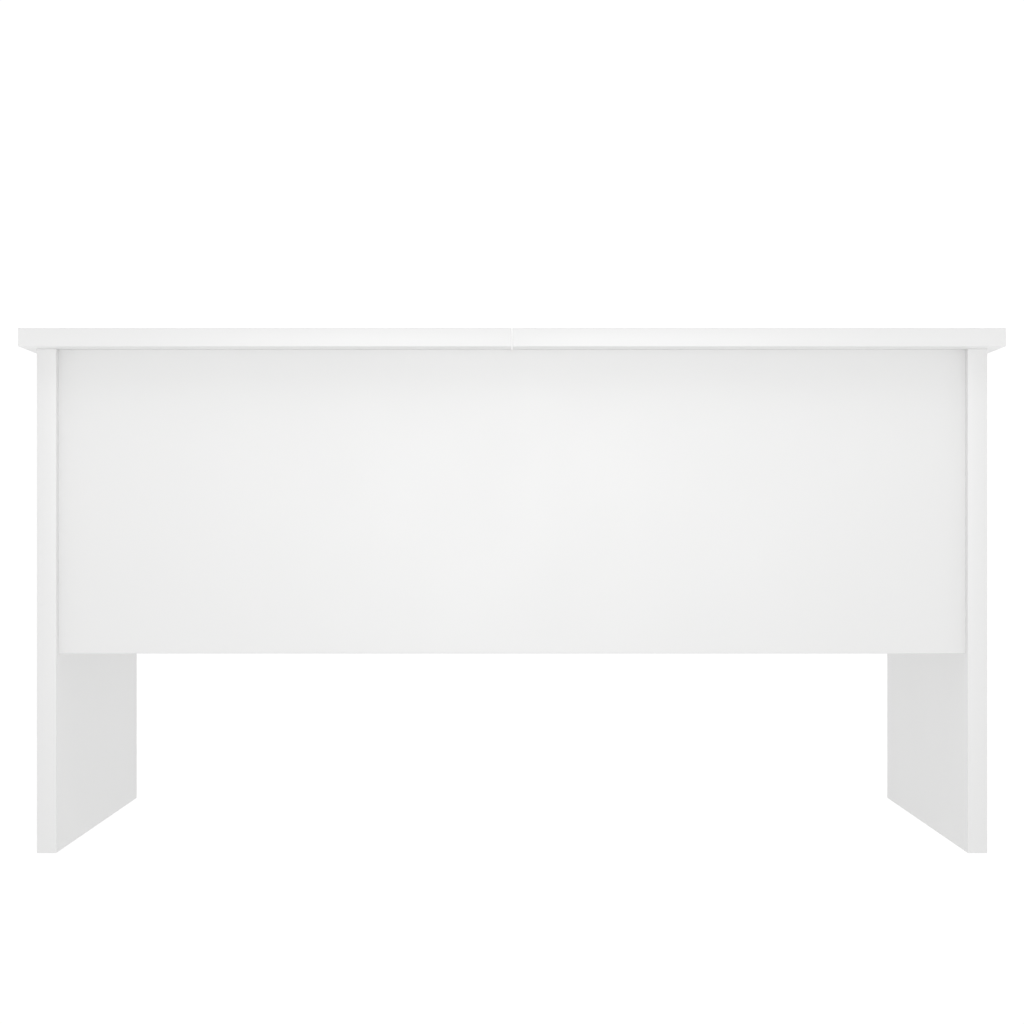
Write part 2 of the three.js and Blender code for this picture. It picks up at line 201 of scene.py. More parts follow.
def setShader(tree, shader, colour, roughness, normal, numbers):
    # what the shader's three worked-out inputs read, and its plain numbers
    for socket, source in (("Base Color", colour), ("Roughness", roughness), ("Normal", normal)):
        tree.links.new(source, shader.inputs[socket])
    for socket, number in numbers.items():
        shader.inputs[socket].default_value = number


melamine = {
    "face": (0.848, 0.848, 0.845),
    "faceShade": (0.840, 0.840, 0.837),
    "band": (0.85, 0.85, 0.847),
    "roughness": (0.43, 0.455),
    "cloud": 5.0,  # per metre, like the next three
    "smudge": 14.0,
    "wave": 22.0,
    "pearl": 900.0,  # the pressed texture
    "waveDepth": 0.02 * mm,
    "pearlDepth": 0.03 * mm,
}


def makeMelamine():
    # satin white foil with a fine pressed pearl, a faint cloudiness, and a plainer edge band
    material, tree, shader, place = newMaterial("whiteMelamine")
    cloud = addNoise(tree, place, melamine["cloud"], detail=3.0)
    face = addMix(tree, addRange(tree, cloud, 0, 1), melamine["face"], melamine["faceShade"])
    colour = addMix(tree, addMark(tree, "bandShare"), face, melamine["band"])
    smudge = addNoise(tree, place, melamine["smudge"], detail=4.0, roughness=0.6)
    pearl = addNoise(tree, place, melamine["pearl"])
    pressed = addBump(tree, pearl, 0.35, melamine["pearlDepth"])
    wave = addNoise(tree, place, melamine["wave"], detail=1.0)
    setShader(tree, shader, colour, addRange(tree, smudge, *melamine["roughness"]),
              addBump(tree, wave, 0.08, melamine["waveDepth"], under=pressed), {})
    return material


boards = {
    "edgeRadius": 0.4 * mm,
    "cornerRadius": 0.7 * mm,
    "bandThickness": 0.8 * mm,
    "seamWidth": 0.14 * mm,
    "seamDepth": 0.06 * mm,
    "arcSteps": 5,
    "buttShare": 0.1,  # of the rounding left where a board butts against another
    "restGap": 0.03 * mm,  # left open between a standing board and the top on it
}
# each board's ends that butt against another: the axis, and the side of it
buttEnds = {
    "front_panel": ((0, -1), (0, 1), (2, 1)),
    "back_panel": ((0, -1), (0, 1), (2, 1)),
    "bottom_panel": ((0, -1), (0, 1), (1, -1), (1, 1)),
    "centre_divider": ((1, -1), (1, 1), (2, 1)),
    "end_panel_left": ((2, 1),),
    "end_panel_right": ((2, 1),),
}


def boardProfile(thickness, radius, seamDepth):
    # inset and height from the middle of one face, over the edge, to the middle of the other:
    # a flat, a hairline groove where the band meets the foil, and a rounded arris
    groove = boards["seamWidth"]
    seam = boards["bandThickness"] + radius
    arcInset, arcDrop = quarterRound(radius, boards["arcSteps"] + 1)
    inset = np.concatenate([[seam + groove, seam + groove / 2, seam], arcInset])
    drop = np.concatenate([[0, seamDepth, 0], arcDrop])
    band = np.concatenate([[0, 0.5, 1], np.ones(len(arcInset))])
    inset = np.concatenate([inset, inset[::-1]])
    height = np.concatenate([thickness / 2 - drop, -thickness / 2 + drop[::-1]])
    return inset, height, np.concatenate([band, band[::-1]])


def roundedRectangle(halfA, halfB, inset, radius):
    # round a rectangle with corner arcs, moved in by inset: [inset, place round it, ab]
    steps = boards["arcSteps"]
    quarter = np.linspace(0, math.pi / 2, steps + 1)
    corner = np.arange(4) * math.pi / 2
    angle = (quarter + corner[:, None]).ravel()
    diagonal = np.repeat(corner + math.pi / 4, steps + 1)
    signA, signB = np.sign(np.cos(diagonal)), np.sign(np.sin(diagonal))
    inset = inset[:, None]
    left = np.maximum(radius - inset, 0)
    centre = np.maximum(radius, inset)
    a = signA * (halfA - centre) + left * np.cos(angle)
    b = signB * (halfB - centre) + left * np.sin(angle)
    return np.stack([a, b], -1)


def slabPoints(size, edgeRadius, cornerRadius, seamDepth, butts=()):
    # a board around the origin: its rounded edge profile carried round its outline, and both
    # faces closed at a middle point; with it, how much of each place is edge band. Towards the
    # ends that butt against another board the rounding is squeezed almost to nothing
    thin = int(np.argmin(size))
    wide = [axis for axis in range(3) if axis != thin]
    inset, height, band = boardProfile(size[thin], edgeRadius, seamDepth)
    ring = roundedRectangle(size[wide[0]] / 2, size[wide[1]] / 2, inset, cornerRadius)
    for axis, side in butts:
        column, end = wide.index(axis), size[axis] / 2
        short = end - side * ring[..., column]
        ring[..., column] = np.where(short < end, side * (end - short * boards["buttShare"]),
                                     ring[..., column])
    ring = np.concatenate([ring[:1] * 0, ring, ring[-1:] * 0])
    height = np.concatenate([height[:1], height, height[-1:]])
    band = np.concatenate([[0], band, [0]])
    points = np.zeros((*ring.shape[:2], 3))
    points[..., wide[0]] = ring[..., 0]
    points[..., wide[1]] = ring[..., 1]
    points[..., thin] = height[:, None]
    return points, np.repeat(band[:, None], ring.shape[1], 1)


def makeBoard(nodeName, material):
    # a board with banded edges in the node's box
    low, high = (np.array(corner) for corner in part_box(nodeName))
    butts = buttEnds.get(nodeName, ())
    if (2, 1) in butts:
        high[2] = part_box("top_left")[0][2] - boards["restGap"]
    points, band = slabPoints(high - low, boards["edgeRadius"], boards["cornerRadius"],
                              boards["seamDepth"], butts)
    board = surface(nodeName + "_board", points + (low + high) / 2, material,
                    marks={"bandShare": band})
    standFor(board, nodeName)


def bodiesByNode():
    # the body that each node rides on
    found = {}
    for body, names in frame["record"]["behaviour"]["bodies"].items():
        found.update({name: body for name in names})
    return found


def standFor(piece, nodeName):
    # the piece takes the node's place and its body
    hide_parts(nodeName)
    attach(piece, bodyOfNode[nodeName])


studio = {
    "eyeHeight": 0.258,
    "eyeDistance": 2.072,  # from the tops' front edges
    "lens": 89.96,
    "sensor": 36.0,
    "rise": 0.0277,  # of the frame's middle over the eye's level
    "clip": (0.05, 60),
    "reach": 12.0,  # of the floor and the sweep, from the middle
    "sweepSteps": (48, 25),
    "skyLight": 0.645,
    "floorLight": 1.03,
    "floorShade": 0.91,  # share of the floor's light left close to the table
    "shadeReach": (0.35, 1.1),
    "backdrop": 1.05,
    # each light's power, size, height, distance from the tops' front edges, and downward tilt
    "softbox": (5.35, 2.6, 0.4, 2.072, 0.0),
    "overhead": (4.1, 1.2, 1.5, 0.85, math.radians(54.7)),
    "glow": (17.5, 0.6, 0.36, 2.072, 0.0),
}


def makeFloor():
    # a floor that only lights, dimmed round the table by a smooth step of the distance from its
    # middle
    material, tree, shine, place = newMaterial("floorLight", "ShaderNodeEmission")
    distance = tree.nodes.new("ShaderNodeVectorMath")
    distance.operation = "LENGTH"
    tree.links.new(place, distance.inputs[0])
    dim = tree.nodes.new("ShaderNodeMapRange")
    dim.interpolation_type = "SMOOTHSTEP"
    near, far = studio["shadeReach"]
    dim.inputs["From Min"].default_value = near
    dim.inputs["From Max"].default_value = far
    dim.inputs["To Min"].default_value = studio["floorLight"] * studio["floorShade"]
    dim.inputs["To Max"].default_value = studio["floorLight"]
    tree.links.new(distance.outputs["Value"], dim.inputs["Value"])
    tree.links.new(dim.outputs["Result"], shine.inputs["Strength"])

    sides = (-studio["reach"], studio["reach"])
    x, y = np.meshgrid(sides, sides)
    floor = surface("floor", np.stack([x, y, 0 * x], -1), material, closeColumns=False)
    floor.visible_camera = False


def makeSweep():
    # a white dome that only the eye sees
    material, _, shine, _ = newMaterial("sweepWhite", "ShaderNodeEmission")
    shine.inputs["Strength"].default_value = studio["backdrop"]
    around, upward = studio["sweepSteps"]
    turn = np.linspace(0, 2 * math.pi, around, endpoint=False)
    rise = np.linspace(-math.pi / 2, math.pi / 2, upward)[:, None]
    dome = np.stack([np.cos(rise) * np.cos(turn), np.cos(rise) * np.sin(turn),
                     np.sin(rise) + 0 * turn], -1)
    sweep = surface("sweep", dome * studio["reach"], material)
    sweep.visible_diffuse = sweep.visible_glossy = sweep.visible_transmission = False
    sweep.visible_shadow = False


def placeInFront(name, data, distance, height, tilt=0.0):
    # an object on the table's middle line, before the tops' front edges, facing the table
    holder = bpy.data.objects.new(name, data)
    holder.location = (0, cadBounds[0][1] - distance, height)
    holder.rotation_euler = (math.pi / 2 - tilt, 0, 0)
    bpy.context.scene.collection.objects.link(holder)
    return holder


def makeLight(name):
    # a round light in front of the table
    power, size, height, distance, tilt = studio[name]
    light = bpy.data.lights.new(name, "AREA")
    light.shape = "DISK"
    light.size = size
    light.energy = power
    lightObject = placeInFront(name, light, distance, height, tilt)
    lightObject.visible_camera = False
    return lightObject


def makeEye():
    # the camera, level
    eye = bpy.data.cameras.new("eye")
    eye.lens = studio["lens"]
    eye.sensor_width = studio["sensor"]
    eye.shift_y = studio["rise"]
    eye.clip_start, eye.clip_end = studio["clip"]
    bpy.context.scene.camera = placeInFront("eye", eye, studio["eyeDistance"],
                                            studio["eyeHeight"])


def makeStudio():
    # a soft light from all sides, and three lights from the front
    scene = bpy.context.scene
    scene.view_settings.view_transform = "Standard"
    scene.view_settings.look = "None"
    world = bpy.data.worlds.new("softSky")
    world.use_nodes = True
    background = world.node_tree.nodes["Background"]
    background.inputs["Color"].default_value = (1, 1, 1, 1)
    background.inputs["Strength"].default_value = studio["skyLight"]
    scene.world = world
    makeFloor()
    makeSweep()
    makeLight("softbox").visible_glossy = False
    makeLight("overhead").visible_glossy = False
    makeLight("glow").visible_diffuse = False
    makeEye()


zinc = {
    "bright": (0.60, 0.615, 0.64),
    "dull": (0.47, 0.485, 0.51),
    "worn": (0.72, 0.73, 0.745),
    "roughness": (0.27, 0.43),
    "cloud": 55.0,  # of the plating's bloom, per metre
    "blotch": 126.5,
    "rolling": 420.0,
    "grain": 1500.0,
    "rollingDepth": 0.02 * mm,
    "grainDepth": 0.01 * mm,
}


def makeZinc():
    # bright zinc over rolled sheet: a blotchy bloom, rolling lines along the table, rubbed edges
    material, tree, shader, place = newMaterial("zincPlate")
    bloom = addNoise(tree, place, zinc["cloud"], detail=5.0, roughness=0.62)
    sheen = addMix(tree, addRange(tree, bloom, 0, 1, 0.36, 0.66), zinc["bright"], zinc["dull"])
    blotch = addNoise(tree, place, zinc["blotch"], detail=4.0, roughness=0.6)
    lines = addNoise(tree, place, zinc["rolling"], stretch=(2.0, 0.05, 2.0))
    rolled = addBump(tree, lines, 0.35, zinc["rollingDepth"])
    grain = addNoise(tree, place, zinc["grain"])
    setShader(tree, shader, addMix(tree, addMark(tree, "edgeShare"), sheen, zinc["worn"]),
              addRange(tree, blotch, *zinc["roughness"]),
              addBump(tree, grain, 0.4, zinc["grainDepth"], under=rolled), {"Metallic": 1.0})
    return material


turnedSteel = {
    "bright": (0.56, 0.57, 0.585),
    "dull": (0.40, 0.41, 0.425),
    "roughness": (0.22, 0.36),
    # painted shade, near black, for the recesses of the screws' crosses
    "soil": (0.07, 0.07, 0.072),
    "cloud": 210.0,  # per metre
    "toolMarks": 5200.0,  # per metre of radius and length
    "markDepth": 0.02 * mm,
}


def makeTurnedSteel():
    # bright bar stock: fine rings left by the lathe, with a slight cloudiness between them, and painted shade in
    # the screws' cross recesses
    material, tree, shader, place = newMaterial("turnedSteel")
    scaled = tree.nodes.new("ShaderNodeMath")
    scaled.operation = "MULTIPLY"
    scaled.inputs[1].default_value = turnedSteel["toolMarks"]
    tree.links.new(addMark(tree, "toolPath"), scaled.inputs[0])
    marks = tree.nodes.new("ShaderNodeTexNoise")
    marks.noise_dimensions = "1D"
    marks.inputs["Scale"].default_value = 1.0
    marks.inputs["Detail"].default_value = 3.0
    tree.links.new(scaled.outputs["Value"], marks.inputs["W"])
    cloud = addNoise(tree, place, turnedSteel["cloud"], detail=4.0)
    colour = addMix(tree, addRange(tree, cloud, 0, 1), turnedSteel["bright"],
                    turnedSteel["dull"])
    setShader(tree, shader, addPaintedShade(tree, colour, turnedSteel["soil"]),
              addRange(tree, marks.outputs["Fac"], *turnedSteel["roughness"]),
              addBump(tree, marks.outputs["Fac"], 0.45, turnedSteel["markDepth"]),
              {"Metallic": 1.0})
    return material


# Plainer looks. Each cloud is its grains per metre, detail, roughness and stretch.

springWire = {  # oil-tempered: near black with a blue cast, drawn lines and a film of oil
    "colours": ((0.105, 0.108, 0.115), (0.065, 0.072, 0.088)),
    "cloud": (130.0, 4.0, 0.6),
    "film": (260.0, 3.0),
    "roughness": (0.26, 0.44),
    "skin": (2600.0, 1.0, 0.5, (1.0, 0.3, 0.3)),
    "bump": (0.4, 0.012 * mm),  # strength and depth
    "numbers": {"Metallic": 0.85, "Coat Weight": 0.25, "Coat Roughness": 0.18},
}
castZinc = {  # die-cast cam locks: dull, grainy, darker in patches
    "colours": ((0.50, 0.505, 0.51), (0.36, 0.365, 0.37)),
    # painted shade, near black, for the recesses of the cam locks' crosses
    "soil": (0.05, 0.05, 0.052),
    "cloud": (260.0, 5.0, 0.65),
    "film": (260.0, 5.0, 0.65),
    "roughness": (0.42, 0.6),
    "skin": (2400.0, 3.0),
    "bump": (0.5, 0.03 * mm),
    "numbers": {"Metallic": 0.9},
}
nylon = {  # moulded, natural: milky, with a faint flow cloud and a fine sparked skin
    "colours": ((0.80, 0.80, 0.785), (0.73, 0.73, 0.71)),
    "cloud": (120.0, 3.0),
    "film": (120.0, 3.0),
    "roughness": (0.42, 0.58),
    "skin": (2200.0,),
    "bump": (0.3, 0.02 * mm),
    "numbers": {"Subsurface Weight": 0.15, "Subsurface Scale": 1.0 * mm},
}
rubber = {  # clear polyurethane that has gone slightly milky, with dust in its skin
    "colours": ((0.74, 0.75, 0.73), (0.62, 0.63, 0.60)),
    "cloud": (340.0, 4.0),
    "film": (340.0, 4.0),
    "roughness": (0.34, 0.55),
    "skin": (1700.0,),
    "bump": (0.25, 0.02 * mm),
    "numbers": {"Transmission Weight": 0.35, "IOR": 1.48},
}


def makeClouded(name, look):
    # two colours mixed by one cloud, a roughness spread by another, and a finely grained skin
    material, tree, shader, place = newMaterial(name)
    cloud = addNoise(tree, place, *look["cloud"])
    colour = addMix(tree, addRange(tree, cloud, 0, 1), *look["colours"])
    # painted shade in the cross recesses, for looks that give a colour for it
    if "soil" in look:
        colour = addPaintedShade(tree, colour, look["soil"])
    film = addNoise(tree, place, *look["film"])
    skin = addNoise(tree, place, *look["skin"])
    setShader(tree, shader, colour, addRange(tree, film, *look["roughness"]),
              addBump(tree, skin, *look["bump"]), look["numbers"])
    return material


# Lift fittings. In each, a place is a distance inwards from the board's face, and y and z.

fitting = {
    "plate": 2.5 * mm,  # sheet of the base bracket and the top rail
    "edge": 0.4 * mm,  # radius of the sheets' rounded edges
    "flatFrom": 1.6,  # times the edge, where the flat's rings begin
    "slip": 0.3 * mm,
    "boss": 11 * mm,  # flat land around a pivot
}
pivotOf = {joint["name"]: np.array(joint["pos_m"][1:]) for joint in frame["joints"]}
rearBase = pivotOf["left_lift"]
frontBase = pivotOf["left_front_arms_swing"]
rearTop = pivotOf["left_top_levelling"]
frontTop = frontBase + rearTop - rearBase
armLine = rearTop - rearBase
armLength = float(np.hypot(*armLine))
armDirection = armLine / armLength
liftAngle = math.radians(frame["joints"][0]["range_deg"][1])


def heading(angle):
    # the direction in the side plane at this angle from +Y towards +Z
    return np.stack([np.cos(angle), np.sin(angle)], -1)


def readFitting(tag):
    # the board's face and which way the bay lies, and where the layers of arms and rail begin
    def spanX(node):
        low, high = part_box(node + "_" + tag)
        return np.array([low.x, high.x])
    bracket, arm, rail = (spanX(node) for node in ("base_bracket", "rear_arm", "top_rail"))
    side = 1 if rail.sum() > bracket.sum() else -1
    face = bracket.min() if side > 0 else bracket.max()
    arm, rail = (np.sort(side * (span - face)) for span in (arm, rail))
    return {"tag": tag, "side": side, "face": face, "armNear": arm[0], "armFar": arm[1],
            "webNear": rail[0], "flangeEdge": rail[1]}


def placed(fit, layer, y, z):
    # points from distances inwards, y and z
    layer, y, z = np.broadcast_arrays(layer, y, z)
    return np.stack([fit["face"] + fit["side"] * layer, y, z], -1)


def awayFrom(start, end, y, z):
    # distance of each place from the line between two points of the side plane
    line = end - start
    length = max(float(line @ line), 1e-12)
    share = np.clip(((y - start[0]) * line[0] + (z - start[1]) * line[1]) / length, 0, 1)
    return np.hypot(y - start[0] - share * line[0], z - start[1] - share * line[1])


def ringMarks(rowValues, columns, markName):
    # one value for each row, the same all round it
    return {markName: np.repeat(np.asarray(rowValues, float)[:, None], columns, 1)}


arms = {
    "width": 18 * mm,
    "grooveHalf": 3.6 * mm,
    "grooveWall": 1.1 * mm,
    "grooveDepth": 0.8 * mm,
    "grooveFromPivot": 21 * mm,
    "capSteps": 20,
    "flatSteps": 14,
    "rampStops": (0, 0.55, 1.0, 1.45),  # shares of grooveFromPivot, and the steps between them
    "rampSteps": (4, 12, 10),
    "middleSteps": 18,
}


def makeArm(fit, nodeName, base, material):
    # rings round a bar with half-round ends, moved in from the rounded edge to the middle line
    # on both faces; the outer face carries a coined groove that stops short of the pivots
    half, edge = arms["width"] / 2, fitting["edge"]
    near, far = fit["armNear"], fit["armFar"]
    roundIn, roundOut = quarterRound(edge, 5)
    flat = np.linspace(half, edge * fitting["flatFrom"], arms["flatSteps"])
    inset = np.concatenate([flat, roundIn, roundIn[::-1], flat[::-1]])
    layer = np.concatenate([near + 0 * flat, near + roundOut, (far - roundOut)[::-1],
                            far + 0 * flat])
    worn = np.concatenate([0 * flat, np.ones(2 * len(roundIn)), 0 * flat])

    stops = np.array(arms["rampStops"]) * arms["grooveFromPivot"]
    ramp = np.concatenate([np.linspace(stops[i], stops[i + 1], n, endpoint=False)
                           for i, n in enumerate(arms["rampSteps"])])
    middle = np.linspace(stops[-1], armLength - stops[-1], arms["middleSteps"], endpoint=False)
    along = np.concatenate([ramp, middle, armLength - ramp[::-1]])
    cap = np.linspace(0, math.pi, arms["capSteps"] + 1)[1:-1]
    reach = np.maximum(half - inset, 0)[:, None]
    a = np.concatenate([along + 0 * reach, armLength + reach * np.sin(cap),
                        along[::-1] + 0 * reach, -reach * np.sin(cap)], 1)
    b = np.concatenate([reach + 0 * along, reach * np.cos(cap), -reach + 0 * along,
                        -reach * np.cos(cap)], 1)

    first, last = arms["grooveFromPivot"], armLength - arms["grooveFromPivot"]
    gap = awayFrom(np.array([first, 0]), np.array([last, 0]), a, b)
    wall = arms["grooveHalf"]
    groove = arms["grooveDepth"] * (1 - smoothStep(wall - arms["grooveWall"], wall, gap))
    layers = layer[:, None] - groove * (layer[:, None] >= far - weldDistance)
    y = base[0] + a * armDirection[0] - b * armDirection[1]
    z = base[1] + a * armDirection[1] + b * armDirection[0]
    piece = surface(nodeName + "_bar", placed(fit, layers, y, z), material,
                    marks=ringMarks(worn, a.shape[1], "edgeShare"))
    standFor(piece, nodeName)


def roundedOutline(corners, steps=8):
    # points and outward directions round a polygon of (y, z, radius), an arc at each corner
    corners = np.asarray(corners, float)
    here, radius = corners[:, :2], corners[:, 2:]
    back = np.roll(here, 1, 0) - here
    on = np.roll(here, -1, 0) - here
    back, on = (v / np.hypot(*v.T)[:, None] for v in (back, on))
    half = np.arccos(np.clip((back * on).sum(1), -1, 1))[:, None] / 2
    bisector = (back + on) / np.hypot(*(back + on).T)[:, None]
    centre = here + bisector * radius / np.sin(half)
    outFrom = np.stack([-back[:, 1], back[:, 0]], -1)
    outTo = np.stack([on[:, 1], -on[:, 0]], -1)
    start = np.arctan2(outFrom[:, 1], outFrom[:, 0])
    sweep = np.arctan2(outTo[:, 1], outTo[:, 0]) - start
    sweep = (sweep + math.pi) % (2 * math.pi) - math.pi
    angle = start[:, None] + sweep[:, None] * np.linspace(0, 1, steps + 1)
    outward = heading(angle)
    bulge = np.sign(sweep)[:, None, None]
    points = centre[:, None] + bulge * radius[:, None] * outward
    return points.reshape(-1, 2), outward.reshape(-1, 2)


def spreadRound(points, outward, spacing):
    # the same outline with more points, no further apart than the spacing
    ring = np.vstack([points, points[:1]])
    walked = np.concatenate([[0], np.cumsum(np.hypot(*np.diff(ring, axis=0).T))])
    fill = np.arange(0, walked[-1], spacing)
    at = np.unique(np.round(np.concatenate([walked[:-1], fill]), 7))
    facing = np.vstack([outward, outward[:1]])
    found = [np.interp(at, walked, column) for column in (*ring.T, *facing.T)]
    spread, direction = np.stack(found[:2], -1), np.stack(found[2:], -1)
    return spread, direction / np.hypot(*direction.T)[:, None]


bracket = {
    "margin": 28 * mm,  # of sheet around its pivots
    "topGap": 13 * mm,  # below the top
    "smallCorner": 8 * mm,
    "bigCorner": 12 * mm,
    "fieldInset": 5.5 * mm,
    "fieldDepth": 0.6 * mm,
    "wall": 1.2 * mm,
    "screwInset": 11 * mm,
    "screwLand": 6.2 * mm,
    "dish": (2.7 * mm, 4.3 * mm),  # under the screws' heads
    "dishDepth": 1.7 * mm,
    "rings": 46,
    "spacing": 2.0 * mm,
    "lugRise": 0.1 * mm,  # what stands higher than this off the plate is the lug
    "lugEdge": 0.5 * mm,
    "lugCorner": 1.2 * mm,
}


def bracketCorners():
    # the outline's corners as (y, z, radius), counted round from the lower front one
    margin, boss = bracket["margin"], fitting["boss"]
    front, rear = frontBase[0] - margin, rearBase[0] + margin + boss
    low = rearBase[1] - margin - boss
    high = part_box("top_left")[0].z - bracket["topGap"]
    small, big = bracket["smallCorner"], bracket["bigCorner"]
    return [(front, low, small), (rear, low, small), (rear, rearBase[1] + boss, big),
            (frontBase[0] + margin, high, big), (front, high, small)]


def bracketScrews():
    # places of the screws that hold it to the board, as [screw, y and z]
    corners = np.array(bracketCorners())
    front, rear, low = corners[0, 0], corners[1, 0], corners[0, 1]
    inset, boss = bracket["screwInset"], fitting["boss"]
    return np.array([[front + inset, low + inset], [(front + rear) / 2, low + inset],
                     [rear - inset, low + inset], [front + inset, frontBase[1] - boss],
                     [rearBase[0] - boss, frontBase[1] + boss]])


def makeBracket(fit, nodeName, material):
    # outline rings moved in over the rounded edge, then drawn to the middle on both faces;
    # the outer face is coined down between flat lands around the rim, pivots and screws
    plate, edge = fitting["plate"], fitting["edge"]
    outline, outward = spreadRound(*roundedOutline(bracketCorners()), bracket["spacing"])
    roundIn, roundOut = quarterRound(edge, 5)
    rim = np.linspace(edge * fitting["flatFrom"], bracket["fieldInset"] + bracket["wall"], 9)
    share = np.linspace(1, 0, bracket["rings"])[1:]
    middle = outline.mean(0)

    def ring(inset, scale):
        moved = outline - inset[:, None, None] * outward
        return middle + scale[:, None, None] * (moved - middle)
    steady = np.ones(len(rim) + len(roundIn))
    inset = np.concatenate([roundIn[::-1], rim])
    half = np.concatenate([ring(inset, steady), ring(np.full(len(share), rim[-1]), share)])
    drop = np.concatenate([roundOut[::-1], np.zeros(len(rim) + len(share))])
    depthIn = np.concatenate([inset, np.full(len(share), rim[-1])])

    y, z = half[..., 0], half[..., 1]
    lands = [(frontBase, fitting["boss"]), (rearBase, fitting["boss"])]
    lands += [(screw, bracket["screwLand"]) for screw in bracketScrews()]
    field = smoothStep(bracket["fieldInset"], bracket["fieldInset"] + bracket["wall"], depthIn)
    field = field[:, None] * np.ones(len(outline))
    for place, radius in lands:
        field *= smoothStep(radius, radius + bracket["wall"], awayFrom(place, place, y, z))
    outer = plate - drop[:, None] - bracket["fieldDepth"] * field
    dishIn, dishOut = bracket["dish"]
    for screw in bracketScrews():
        outer = outer - bracket["dishDepth"] * (
            1 - smoothStep(dishIn, dishOut, awayFrom(screw, screw, y, z)))
    inner = drop[:, None] + 0 * outer
    worn = np.concatenate([np.ones(len(roundIn)), np.zeros(len(rim) + len(share))])

    points = np.concatenate([placed(fit, inner, y, z)[::-1], placed(fit, outer, y, z)])
    marks = ringMarks(np.concatenate([worn[::-1], worn]), len(outline), "edgeShare")
    piece = surface(nodeName + "_plate", points, material, marks=marks)
    standFor(piece, nodeName)
    makeStop(fit, nodeName, material)
    makeScrews(fit, "bracket_screws_" + fit["tag"], bodyOfNode[nodeName])


def makeStop(fit, nodeName, material):
    # the lug that the raised front arm comes to rest on: a rounded block on the bracket
    node = frame["nodes"][nodeName]
    corners = np.zeros(len(node.data.vertices) * 3)
    node.data.vertices.foreach_get("co", corners)
    corners = corners.reshape(-1, 3)
    layer = fit["side"] * (corners[:, 0] - fit["face"])
    lug = corners[layer > fitting["plate"] + bracket["lugRise"]][:, 1:]
    middle = (lug.min(0) + lug.max(0)) / 2
    upright = heading(math.atan2(armDirection[1], armDirection[0]) + liftAngle)
    along, across = np.ptp(lug @ upright), np.ptp(lug @ np.array([-upright[1], upright[0]]))
    height = layer.max() - fitting["plate"] / 2
    points, band = slabPoints(np.array([height, along, across]), bracket["lugEdge"],
                              bracket["lugCorner"], 0)
    a, b = points[..., 1], points[..., 2]
    y = middle[0] + a * upright[0] - b * upright[1]
    z = middle[1] + a * upright[1] + b * upright[0]
    layers = points[..., 0] + layer.max() - height / 2
    piece = surface("stop_lug_" + fit["tag"], placed(fit, layers, y, z), material,
                    marks={"edgeShare": band})
    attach(piece, bodyOfNode[nodeName])


screws = {
    "headRadius": 4.3 * mm,
    "panHeight": 1.9 * mm,
    "flushHeight": 0.12 * mm,
    "shankRadius": 2.1 * mm,
    "shankLength": 6 * mm,
    "crossReach": 2.5 * mm,
    "crossHalf": 0.42 * mm,
    "crossDepth": 1.5 * mm,
    "firstTurn": 0.2,
    "nextTurn": 0.7,
}
headShape = {  # what all cross-headed discs share, as shares of radius, height or cross
    "rings": 16,
    "spokes": 72,
    "crownReach": 0.93,
    "crownFall": 0.35,
    "crossWall": 1.9,
    "crossTaper": 0.6,
    "rimReach": (0.98, 1.0, 1.0),
    "rimHeight": (0.48, 0.3, 0.0),
    "soilSpread": 2.5,
}


def crossHead(kind, height):
    # [ring, spoke, (u, v, out)]: a crowned disc whose height falls away inside a cross-shaped
    # recess that gets shallower outwards, a rounded rim, a flat seat and a plain shank; and how
    # much painted shade darkens each place of the recess
    radius, crossHalf, crossDepth = kind["headRadius"], kind["crossHalf"], kind["crossDepth"]
    shankRadius, shankLength = kind["shankRadius"], kind["shankLength"]
    spoke = np.linspace(0, 2 * math.pi, headShape["spokes"], endpoint=False)
    share = np.linspace(0, 1, headShape["rings"])[:, None]
    reach = radius * headShape["crownReach"] * share
    u, v = reach * np.cos(spoke), reach * np.sin(spoke)
    crown = height * (1 - headShape["crownFall"] * (reach / radius) ** 2) + 0 * spoke
    narrow = np.minimum(np.abs(u), np.abs(v))
    inside = 1 - smoothStep(crossHalf, crossHalf * headShape["crossWall"], narrow)
    taper = np.clip(1 - reach / kind["crossReach"], 0, 1) ** headShape["crossTaper"]
    sunk = crossDepth * inside * taper
    top = crown - sunk
    rimReach = radius * np.array(headShape["rimReach"])
    rimHeight = height * np.array(headShape["rimHeight"])
    lower = np.array([shankRadius, shankRadius, 0])
    reach = np.concatenate([reach + 0 * spoke, (rimReach[:, None] + 0 * spoke),
                            (lower[:, None] + 0 * spoke)])
    out = np.concatenate([top, rimHeight[:, None] + 0 * spoke,
                          np.array([0, -shankLength, -shankLength])[:, None] + 0 * spoke])
    soiled = np.zeros(out.shape)
    # painted shade: the deeper the cross is sunk, the darker the place
    soiled[:len(top)] = np.clip(sunk / crossDepth * headShape["soilSpread"], 0, 1)
    return np.stack([reach * np.cos(spoke), reach * np.sin(spoke), out], -1), soiled


def setHeads(name, head, places, across, upward, body, material, turns):
    # a copy of the head at each place, turned by its own angle about its outward line
    heads, soiled = head
    outward = np.cross(across, upward)
    cosine, sine = np.cos(turns)[:, None, None], np.sin(turns)[:, None, None]
    u = heads[..., 0] * cosine - heads[..., 1] * sine
    v = heads[..., 0] * sine + heads[..., 1] * cosine
    out = heads[..., 2] + 0 * u
    points = places[:, None, None] + u[..., None] * across + v[..., None] * upward \
        + out[..., None] * outward
    reach = np.hypot(heads[..., 0], heads[..., 1]) - heads[..., 2]
    marks = {"toolPath": np.repeat(reach[None], len(places), 0),
             "soiled": np.repeat(soiled[None], len(places), 0)}
    piece = surface(name, points, material, marks=marks, sharpAngle=40)
    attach(piece, body)


